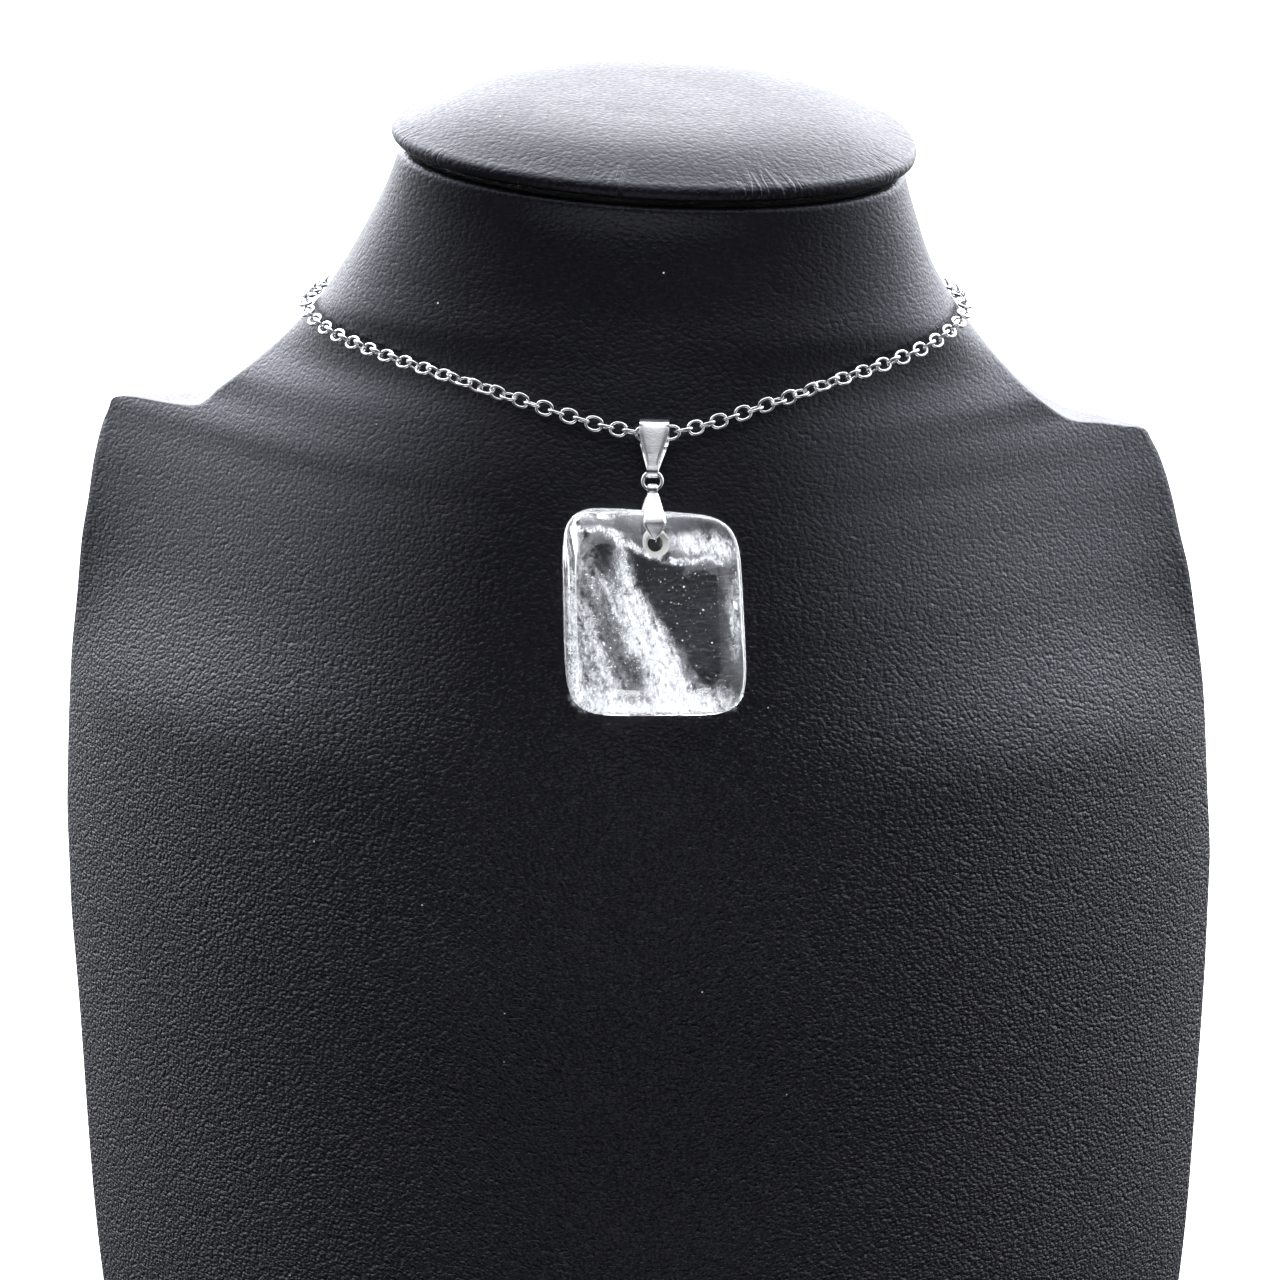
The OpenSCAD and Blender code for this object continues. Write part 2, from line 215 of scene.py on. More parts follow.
def edge_slope(z):
    """Share of a plain slope in that fall, so the front meets the back in a crease."""
    return 0.4 + 0.8 * smooth01((z - 116) / 50) - 1.2 * smooth01((z - 162) / 28)


def bust_row(z):
    """0 z, 1 y of the widest line, 2 front depth, 3 back depth, 4 and 5 squareness, 6 and 7 fall, 8 to 10 the front's form,
    11 rise, 12 and 13 the outline, 14 edge slope."""
    z = np.atleast_1d(np.asarray(z, float))
    f, o = table_rows(FORM, z), table_rows(OUTLINE, z)
    return np.stack([z, f[:, 1], f[:, 1] - f[:, 2], f[:, 3], front_square(z), f[:, 4], front_fall(z), f[:, 5], f[:, 6], f[:, 7], f[:, 8], f[:, 9],
                     o[:, 1], o[:, 2], edge_slope(z)], 1)


def pw(v, e):
    return np.sign(v) * np.abs(v) ** e


def front_y(r, x):
    """Front of the sections r at x."""
    off = x - r[..., 9]
    t = np.minimum(np.abs(off) / (r[..., 8] + np.sign(off) * r[..., 10]), 1)
    q = 1 - t ** r[..., 4]
    return r[..., 1] - r[..., 2] * (q ** (r[..., 6] / 2) + r[..., 14] * q) / (1 + r[..., 14])


def risen(r, x, y):
    """The tilt of the upper sections: they rise and slip toward the back."""
    x = x + r[..., 11] * CAP_SKEW * (y - r[..., 1])
    return np.stack([x, y, r[..., 0] + r[..., 11] * (y - CAP_TIP * x)], -1)


def section_pt(r, u):
    """Points of the sections r at u radians round from the front toward the right."""
    c, s = np.cos(u), np.sin(u)
    k = 2 / r[:, 5]
    x = r[:, 13] + r[:, 12] * np.where(c >= 0, s, pw(s, k))
    y = np.where(c >= 0, front_y(r, x), r[:, 1] + r[:, 3] * np.abs(c) ** r[:, 7])
    return risen(r, x, y)


def bust_pt(z, u):
    return section_pt(bust_row(z), np.atleast_1d(u))


def bust_normal(z, u):
    e = math.radians(1)
    return unit(np.cross(bust_pt(z, u + e) - bust_pt(z, u - e), bust_pt(z + 0.3, u) - bust_pt(z - 0.3, u)))


def section_line(r, n_front, n_back, inset=0.0):
    """One section as a closed line, evenly spaced, from the left side round the front."""
    a = np.linspace(0, math.pi, 1201)
    r = r.copy()
    r[[2, 3, 8, 12]] -= inset
    x = r[13] - r[12] * np.cos(a)
    front = np.stack([x, front_y(r[None, :], x)], 1)
    x = r[13] - r[12] * pw(np.cos(a), 2 / r[5])
    back = np.stack([x, r[1] + r[3] * np.abs(np.sin(a)) ** r[7]], 1)[::-1]
    p = np.vstack([resample(front, n_front + 1)[:-1], resample(np.vstack([front[-1:], back, front[:1]]), n_back + 1)[:-1]])
    return risen(r[None, :], p[:, 0], p[:, 1])


# ---------------------------------------------------------------- materials
class Nodes:
    """Short names for building a shader."""

    def __init__(self, name):
        self.mat = bpy.data.materials.new(name)
        self.mat.use_nodes = True
        self.t = self.mat.node_tree
        self.bsdf = self.t.nodes["Principled BSDF"]
        self.out = self.t.nodes["Material Output"]

    def n(self, kind, **kw):
        node = self.t.nodes.new(kind)
        for k, v in kw.items():
            if k == "ins":
                for name, val in v.items():
                    sock = node.inputs[name]
                    if isinstance(val, bpy.types.NodeSocket):
                        self.t.links.new(val, sock)
                    else:
                        sock.default_value = val
            else:
                setattr(node, k, v)
        return node

    def link(self, a, b):
        self.t.links.new(a, b)

    def coords(self, kind="Object"):
        return self.n("ShaderNodeTexCoord").outputs[kind]

    def mapping(self, vec, scale=(1, 1, 1), loc=(0, 0, 0), rot=(0, 0, 0)):
        return self.n("ShaderNodeMapping", ins={"Vector": vec, "Scale": scale, "Location": loc, "Rotation": rot}).outputs[0]

    def noise(self, vec, scale, detail=2, rough=0.5, lac=2.0, dist=0.0):
        return self.n("ShaderNodeTexNoise", ins={"Vector": vec, "Scale": scale, "Detail": detail, "Roughness": rough,
                                                 "Lacunarity": lac, "Distortion": dist})

    def voronoi(self, vec, scale, feature="F1", rand=1.0, smooth=None):
        node = self.n("ShaderNodeTexVoronoi", feature=feature, ins={"Vector": vec, "Scale": scale, "Randomness": rand})
        if smooth is not None:
            node.inputs["Smoothness"].default_value = smooth
        return node

    def math(self, op, a, b=None, clamp=False):
        node = self.n("ShaderNodeMath", operation=op, use_clamp=clamp)
        for i, v in enumerate((a, b)):
            if v is None:
                continue
            if isinstance(v, bpy.types.NodeSocket):
                self.link(v, node.inputs[i])
            else:
                node.inputs[i].default_value = v
        return node.outputs[0]

    def vmath(self, op, a, b=None, scale=None):
        node = self.n("ShaderNodeVectorMath", operation=op)
        for i, v in enumerate((a, b)):
            if v is None:
                continue
            if isinstance(v, bpy.types.NodeSocket):
                self.link(v, node.inputs[i])
            else:
                node.inputs[i].default_value = v
        if scale is not None:
            node.inputs["Scale"].default_value = scale
        return node.outputs[0]

    def remap(self, v, a, b, c=0.0, d=1.0, kind="SMOOTHSTEP"):
        return self.n("ShaderNodeMapRange", interpolation_type=kind,
                      ins={"Value": v, "From Min": a, "From Max": b, "To Min": c, "To Max": d}).outputs["Result"]

    def mix(self, f, a, b):
        node = self.n("ShaderNodeMix", data_type="RGBA")
        for i, v in ((0, f), (6, a), (7, b)):
            if isinstance(v, bpy.types.NodeSocket):
                self.link(v, node.inputs[i])
            else:
                node.inputs[i].default_value = v if i == 0 else (*v, 1) if len(v) == 3 else v
        return node.outputs[2]

    def bump(self, height, dist, strength=1.0, normal=None):
        ins = {"Height": height, "Distance": dist, "Strength": strength}
        if normal is not None:
            ins["Normal"] = normal
        return self.n("ShaderNodeBump", ins=ins).outputs[0]


def leather(name, wrinkles=False):
    m = Nodes(name)
    co = m.coords()
    # pebbles, each a low dome with a crease round it
    big = m.voronoi(m.mapping(co, (1, 1, 1.35)), 1250).outputs["Distance"]
    dome = m.math("SUBTRACT", 1.0, m.math("MULTIPLY", big, big))
    grit = m.noise(m.mapping(co, (1, 1, 1.6)), 1500, 1, 0.6).outputs["Fac"]
    h = m.math("ADD", m.math("MULTIPLY", dome, 0.8), m.math("MULTIPLY", grit, 0.9))
    height = m.n("ShaderNodeSeparateXYZ", ins={"Vector": co}).outputs["Z"]
    h = m.math("MULTIPLY", h, m.remap(height, 0.175, 0.075, 0.22, 1.0))
    nrm = m.bump(h, 0.00042, 1.0)
    blotch = m.noise(co, 60, 1, 0.6).outputs["Fac"]
    if wrinkles:
        uv = m.n("ShaderNodeUVMap", uv_map="wrap").outputs[0]
        streak = m.noise(m.mapping(uv, (1.0, 0.16, 1)), 0.95, 1, 0.55, dist=0.6).outputs["Fac"]
        sep = m.n("ShaderNodeSeparateXYZ", ins={"Vector": uv})
        rim = m.remap(sep.outputs["Y"], 3.0, 6.0)
        rim = m.math("MULTIPLY", rim, m.remap(sep.outputs["Y"], 14.5, 9.5))
        patch = m.remap(m.noise(m.mapping(uv, (1, 0.4, 1)), 0.075, 0).outputs["Fac"], 0.36, 0.62)
        crease = m.math("MULTIPLY", m.math("MULTIPLY", m.remap(streak, 0.36, 0.62), rim), patch)
        nrm = m.bump(crease, 0.00012, 1.0, nrm)
    m.link(nrm, m.bsdf.inputs["Normal"])
    # painted shade: the colour is darker in the creases round the pebbles, and a little cooler on the pebbles
    crease_shade_tone = m.mix(m.remap(big, 0.25, 0.6), (0.0013, 0.0013, 0.0018), (0.0006, 0.0006, 0.0008))
    crease_shade_tone = m.mix(m.remap(blotch, 0.3, 0.75, 0.0, 0.45), crease_shade_tone, (0.002, 0.0019, 0.0026))
    # dust: a few bright specks
    dust = m.voronoi(co, 230)
    speck = m.remap(dust.outputs["Distance"], 0.045, 0.02)
    pick = m.n("ShaderNodeSeparateXYZ", ins={"Vector": dust.outputs["Color"]}).outputs["X"]
    speck = m.math("MULTIPLY", speck, m.remap(pick, 0.80, 0.84))
    m.link(m.mix(speck, crease_shade_tone, (0.35, 0.35, 0.38)), m.bsdf.inputs["Base Color"])
    rough = m.math("ADD", m.remap(grit, 0.3, 0.7, 0.32, 0.42), m.math("MULTIPLY", blotch, 0.08))
    m.link(rough, m.bsdf.inputs["Roughness"])
    m.bsdf.inputs["Specular IOR Level"].default_value = 0.5
    m.bsdf.inputs["Specular Tint"].default_value = (0.52, 0.52, 0.62, 1) if wrinkles else (0.8, 0.81, 0.95, 1)
    return m.mat


def silver(name, rough=0.13, tarnish=0.25):
    m = Nodes(name)
    co = m.coords()
    cloud = m.noise(co, 700, 3, 0.6).outputs["Fac"]
    fine = m.noise(co, 5200, 2, 0.5).outputs["Fac"]
    col = m.mix(m.remap(cloud, 0.45, 0.8, 0, tarnish), (0.90, 0.90, 0.91), (0.62, 0.61, 0.60))
    m.link(col, m.bsdf.inputs["Base Color"])
    m.bsdf.inputs["Metallic"].default_value = 1.0
    m.link(m.remap(cloud, 0.3, 0.8, rough, rough + 0.10), m.bsdf.inputs["Roughness"])
    nrm = m.bump(fine, 0.00003, 0.5)
    nrm = m.bump(cloud, 0.00006, 0.4, nrm)
    m.link(nrm, m.bsdf.inputs["Normal"])
    return m.mat


def quartz(name):
    m = Nodes(name)
    co = m.coords()
    m.bsdf.inputs["Transmission Weight"].default_value = 1.0
    m.bsdf.inputs["IOR"].default_value = 1.544
    smear = m.noise(co, 160, 3, 0.6).outputs["Fac"]
    m.link(m.remap(smear, 0.45, 0.85, 0.0, 0.07), m.bsdf.inputs["Roughness"])
    wave = m.noise(co, 95, 2, 0.5).outputs["Fac"]
    m.link(m.bump(wave, 0.00022, 0.5), m.bsdf.inputs["Normal"])
    m.link(m.mix(m.remap(smear, 0.5, 0.8), (0.985, 0.99, 0.99), (0.97, 0.965, 0.95)), m.bsdf.inputs["Base Color"])
    return m.mat


def ground_glass(name):
    m = Nodes(name)
    co = m.coords()
    m.bsdf.inputs["Transmission Weight"].default_value = 0.85
    m.bsdf.inputs["IOR"].default_value = 1.544
    g = m.noise(co, 2600, 3, 0.6).outputs["Fac"]
    m.link(m.remap(g, 0.3, 0.7, 0.35, 0.6), m.bsdf.inputs["Roughness"])
    m.link(m.mix(g, (0.62, 0.61, 0.52), (0.86, 0.86, 0.80)), m.bsdf.inputs["Base Color"])
    m.link(m.bump(g, 0.00008, 0.6), m.bsdf.inputs["Normal"])
    return m.mat


LEATHER = leather("black_leatherette")
LEATHER_CAP = leather("black_leatherette_cap", True)
SILVER = silver("silver_plate_polished", 0.08, 0.15)
SILVER_CHAIN = silver("silver_plate_links", 0.14, 0.35)
QUARTZ = quartz("rock_crystal_clear")
GROUND = ground_glass("rock_crystal_ground")


# ---------------------------------------------------------------- camera
def camera():
    az, el, roll, f, dist = math.radians(2), math.radians(13), math.radians(1.3), 4185.0, 620.0
    fwd = Vector((-math.sin(az) * math.cos(el), math.cos(az) * math.cos(el), -math.sin(el)))
    right = Vector((math.cos(az), math.sin(az), 0))
    up = right.cross(fwd)
    rr = right * math.cos(roll) + up * math.sin(roll)
    uu = -right * math.sin(roll) + up * math.cos(roll)
    target = Vector((2.84, -36, 174))
    at = target - fwd * dist - rr * (652 - 640) / f * dist + uu * (432 - 640) / f * dist
    cam = bpy.data.cameras.new("camera")
    cam.sensor_width = 36
    cam.lens = f / 1280 * 36
    cam.clip_start, cam.clip_end = 0.01, 50
    ob = bpy.data.objects.new("camera", cam)
    M = Matrix((rr, uu, -fwd)).transposed().to_4x4()
    M.translation = at * MM
    ob.matrix_world = M
    bpy.context.scene.collection.objects.link(ob)
    bpy.context.scene.camera = ob
    return ob


camera()


# ---------------------------------------------------------------- bust
def build_bust():
    nf, nb = 190, 130
    zs = np.unique(np.concatenate([
        np.array([0, 0.25, 0.6, 1.2, 2, 3]), np.arange(4.5, 150, 1.5), np.arange(150, 162, 0.6),
        np.arange(162, 164.4, 0.3), np.arange(164.4, 168.4, 0.15), np.arange(168.4, 170, 0.3), np.arange(170, 176, 0.4), np.arange(176, 209.0, 0.8)]))
    rows = [section_line(r, nf, nb) for r in bust_row(zs)]
    top = FORM[-1][0]
    rr = 1.25
    for a in np.linspace(8, 90, 8):
        a = math.radians(a)
        z = top - rr + rr * math.sin(a)
        rows.append(section_line(bust_row(z)[0], nf, nb, rr * (1 - math.cos(a))))
    for inset in (2.5, 5, 9, 15, 22):
        rows.append(section_line(bust_row(top)[0], nf, nb, inset))
    n = nf + nb
    verts = np.vstack(rows)
    faces = ring_faces(len(rows), n)
    lo, hi = len(verts), len(verts) + 1
    verts = np.vstack([verts, rows[0].mean(0), rows[-1].mean(0)])
    faces += [(lo, (k + 1) % n, k) for k in range(n)]
    b = (len(rows) - 1) * n
    faces += [(hi, b + k, b + (k + 1) % n) for k in range(n)]
    ob = mesh_piece("bust_leather", verts * MM, faces, LEATHER, replaces=["bust_body"], sharp=60)
    outward(ob)
    return ob


def build_cap():
    n = 300
    prof = catmull(CAP_ROWS, 6)
    extra = np.array([(29, 5.78), (34, 5.85), (38, 5.88)])
    prof = np.vstack([prof, extra])
    u = np.linspace(0, 2 * math.pi, n, endpoint=False)
    rows, uvs = [], []
    run = np.concatenate([[0], np.cumsum(np.linalg.norm(np.diff(prof, axis=0), axis=1))])
    arc = u * 36
    for (inset, h), v in zip(prof, run):
        w = max(CAP_HALF - inset, 0.5)
        fr = np.where(np.cos(u) >= 0, CAP_FRONT - inset * 0.9, CAP_BACK - inset)
        if inset > 25:
            k = (CAP_HALF - inset) / (CAP_HALF - 25)
            fr = np.where(np.cos(u) >= 0, (CAP_FRONT - 25 * 0.9) * k, (CAP_BACK - 25) * k)
        y = CAP_AT[1] - fr * np.cos(u)
        x = CAP_AT[0] + w * np.sin(u) + CAP_SLOPE * CAP_SKEW * (y - CAP_AT[1])
        z = CAP_AT[2] + h + CAP_SLOPE * (y - CAP_TIP * x)
        rows.append(np.stack([x, y, z], 1))
        uvs.append(np.stack([arc, np.full(n, v)], 1))
    verts = np.vstack(rows)
    uv = np.vstack(uvs)
    faces = ring_faces(len(rows), n)
    top = len(rows) - 1
    verts = np.vstack([verts, rows[0].mean(0), rows[-1].mean(0)])
    uv = np.vstack([uv, [0, 0], [0, 60]])
    lo, hi = len(verts) - 2, len(verts) - 1
    faces += [(lo, (k + 1) % n, k) for k in range(n)]
    faces += [(hi, top * n + k, top * n + (k + 1) % n) for k in range(n)]
    ob = mesh_piece("cap_pad", verts * MM, faces, LEATHER_CAP, replaces=["neck_cap"])
    layer = ob.data.uv_layers.new(name="wrap")
    idx = np.zeros(len(ob.data.loops), int)
    ob.data.loops.foreach_get("vertex_index", idx)
    layer.data.foreach_set("uv", uv[idx].ravel())
    outward(ob)
    return ob


build_bust()
build_cap()


# ---------------------------------------------------------------- stone
def stone_xz(a, b):
    c = np.array(STONE_CORNERS)
    w = np.stack([(1 - a) * (1 - b), (1 + a) * (1 - b), (1 + a) * (1 + b), (1 - a) * (1 + b)], -1) / 4
    return w @ c


def stone_ring(share, turn):
    """Points of the stone's outline drawn in to a share of its size; the bevel is wider on the right, most of all at the top right."""
    wide = 1 + 0.35 * np.maximum(np.cos(turn), 0) ** 1.5 + 0.75 * np.exp(-((np.degrees(turn) - 62) / 26) ** 2)
    s = 1 - (1 - share) * (1 + (wide - 1) * min(1, share / 0.6))
    k = 2 / STONE_SQUARE
    return stone_xz(s * pw(np.cos(turn), k), s * pw(np.sin(turn), k))


def stone_mesh(n):
    """Rings from the middle of the back over the edge to the middle of the front."""
    prof = catmull(STONE_EDGE, 5)
    prof[:, 1] = np.maximum(prof[:, 1], 0)
    turn = np.radians((np.arange(n) + 0.5) * 360 / n)
    turn = np.where(turn > math.pi, turn - 2 * math.pi, turn)
    rows = []
    for side in (1, -1):
        for share, h in (prof if side > 0 else prof[-2::-1]):
            xz = stone_ring(share, turn)
            rows.append(np.stack([xz[:, 0], np.full(n, side * h * STONE_T / 2), xz[:, 1]], 1))
    faces = ring_faces(len(rows), n)
    m = len(rows)
    verts = np.vstack(rows + [[rows[0].mean(0)], [rows[-1].mean(0)]])
    faces += [(m * n, (k + 1) % n, k) for k in range(n)]
    faces += [(m * n + 1, (m - 1) * n + k, (m - 1) * n + (k + 1) % n) for k in range(n)]
    return verts, faces


def build_stone():
    pts, faces = stone_mesh(224)
    ob = mesh_piece("crystal_stone", pts * MM, faces, [QUARTZ, GROUND], replaces=["crystal"])
    outward(ob)
    # the drilled hole: a straight throat that flares to both faces
    prof = [(-4.5, HOLE_MOUTH / 2 + 1.2), (-3.05, HOLE_MOUTH / 2 + 0.05), (-2.9, HOLE_MOUTH / 2 - 0.05), (-HOLE_THROAT, HOLE_D / 2), (HOLE_THROAT, HOLE_D / 2),
            (2.9, HOLE_MOUTH / 2 - 0.05), (3.05, HOLE_MOUTH / 2 + 0.05), (4.5, HOLE_MOUTH / 2 + 1.2)]
    n = 72
    a = np.linspace(0, 2 * math.pi, n, endpoint=False)
    v = np.vstack([np.stack([HOLE_X + r * np.cos(a), np.full(n, y), HOLE_Z + r * np.sin(a)], 1) for y, r in prof])
    f = ring_faces(len(prof), n) + [tuple(range(n))[::-1], tuple((len(prof) - 1) * n + k for k in range(n))]
    me = bpy.data.meshes.new("drill")
    me.from_pydata([tuple(p) for p in v * MM], [], f)
    me.materials.append(QUARTZ)
    me.materials.append(GROUND)
    drill = bpy.data.objects.new("drill", me)
    bpy.context.scene.collection.objects.link(drill)
    outward(drill)
    me.polygons.foreach_set("material_index", np.ones(len(me.polygons), int))
    mod = ob.modifiers.new("hole", "BOOLEAN")
    mod.operation, mod.solver, mod.object = "DIFFERENCE", "EXACT", drill
    apply_modifiers(ob)
    bpy.data.objects.remove(drill)
    me = ob.data
    me.polygons.foreach_set("use_smooth", [True] * len(me.polygons))
    M = CRYSTAL_M.copy()
    M.translation = M.translation * MM
    me.transform(M)
    me.set_sharp_from_angle(angle=math.radians(32))
    me.update()
    return ob


build_stone()


# each streak of cloud: points x, z, half width, strength, and how much sharper its right side is. The first three are
# milky veils in the stone. The streaks along the bottom, top, right and left rims are painted light: white that stands
# in for the light the bevels refract
CLOUDS_AND_RIM_LIGHT = [
    ([(-4.6, 10.5, 1.1, 0.25), (-4.4, 7.5, 1.4, 0.45), (-3.8, 4, 1.7, 0.6), (-2.7, 1, 2.1, 0.85), (-1.0, -2.5, 2.6, 1.2), (1.2, -6.5, 2.8, 1.3),
      (3, -10.5, 3.0, 1.2), (4, -13.5, 3.4, 1.0)], 0.62),
    ([(-10.5, 9, 1.4, 0.15), (-9.2, 6, 1.4, 0.2), (-7.6, 4, 1.5, 0.3), (-6.0, 1.5, 1.5, 0.35), (-4.0, -1.5, 1.6, 0.35), (-3, -5, 1.3, 0.25)], 1.0),
    ([(-9.8, 1, 1.2, 0.22), (-8.8, -3, 1.4, 0.32), (-7.8, -7, 1.8, 0.45), (-6.8, -10.5, 2.1, 0.5), (-5.5, -14, 2.6, 0.55)], 1.0),
    # painted light along the bottom rim: a white streak for the bright band the bottom bevel refracts
    ([(-9, -13.9, 1.2, 0.6), (-2, -13.9, 1.3, 0.8), (5, -13.8, 1.5, 0.8), (10, -13, 1.6, 0.5)], 1.0),
    # painted light along the top rim: a white streak for the grey-white light the top bevel refracts, and below it a
    # thin painted highlight line
    ([(2.5, 10.4, 1.0, 0.4), (5.5, 9.9, 1.4, 0.8), (9, 9.6, 1.5, 0.85), (10.8, 9, 1.2, 0.7)], 1.0),
    ([(-11.6, 12.4, 0.3, 0.7), (-7.2, 12.1, 0.3, 0.8), (-2.7, 9.7, 0.3, 0.9), (1.2, 8, 0.3, 0.9), (9, 7.7, 0.3, 0.9)], 1.0),
    # painted light along the right rim: a faint white streak for the grey light the right bevel refracts
    ([(11.9, 5, 0.8, 0.25), (12.1, -1, 0.8, 0.3), (12.3, -6, 0.8, 0.2)], 1.0),
    # painted light along the left rim: a white streak for the bright band the left bevel refracts
    ([(-11.4, 6, 0.8, 0.25), (-11.2, 0, 0.8, 0.3), (-11, -6, 0.9, 0.35), (-10.6, -12, 1.2, 0.5)], 1.0),
]


def cloud_and_rim_light_strength(x, z):
    """How milky the stone is at x, z of its middle plane; along the rims this is painted light, white standing in for
    refracted light.
    """
    total = np.zeros(len(x))
    for line, sharp in CLOUDS_AND_RIM_LIGHT:
        P = catmull([p for p in line], 6)
        best, val = np.full(len(x), 1e9), np.zeros(len(x))
        for a, b in zip(P[:-1], P[1:]):
            d = b[:2] - a[:2]
            t = np.clip(((x - a[0]) * d[0] + (z - a[1]) * d[1]) / (d @ d), 0, 1)
            ox, oz = x - a[0] - t * d[0], z - a[1] - t * d[1]
            dist = np.hypot(ox, oz)
            w = (a[2] + (b[2] - a[2]) * t) * np.where(ox > 0, sharp, 1)
            near = dist < best
            best = np.where(near, dist, best)
            val = np.where(near, (a[3] + (b[3] - a[3]) * t) * np.exp(-(dist / w) ** 2), val)
        total += val
    return total


def rough_field(x, y, z, scale, octaves, seed):
    return np.array([noise.fractal(Vector((a * scale + seed, b * scale, c * scale)), 0.9, 2.1, octaves) for a, b, c in zip(x, y, z)])


def veil_and_rim_light_material():
    # white sheets: milky veils, and along the rims painted light that stands in for refracted light
    m = Nodes("rock_crystal_veil_and_painted_rim_light")
    co = m.coords()
    own = m.n("ShaderNodeAttribute", attribute_name="veil").outputs["Fac"]
    grain = m.noise(co, 2600, 2, 0.8).outputs["Fac"]
    hair = m.noise(m.mapping(co, (1.6, 1, 0.5), rot=(0, math.radians(24), 0)), 1500, 1, 0.7).outputs["Fac"]
    open_ = m.math("ADD", m.math("MULTIPLY", m.remap(grain, 0.32, 0.66), 0.9), m.math("MULTIPLY", m.remap(hair, 0.36, 0.66), 0.9))
    m.link(m.math("MULTIPLY", own, m.math("ADD", open_, 0.12), clamp=True), m.bsdf.inputs["Alpha"])
    m.bsdf.inputs["Base Color"].default_value = (0.93, 0.95, 0.98, 1)
    m.bsdf.inputs["Roughness"].default_value = 0.9
    m.bsdf.inputs["Specular IOR Level"].default_value = 0.2
    return m.mat


def fleck_material():
    m = Nodes("rock_crystal_fleck")
    m.bsdf.inputs["Base Color"].default_value = (0.95, 0.96, 0.98, 1)
    m.bsdf.inputs["Roughness"].default_value = 0.35
    m.bsdf.inputs["Specular IOR Level"].default_value = 0.8
    return m.mat


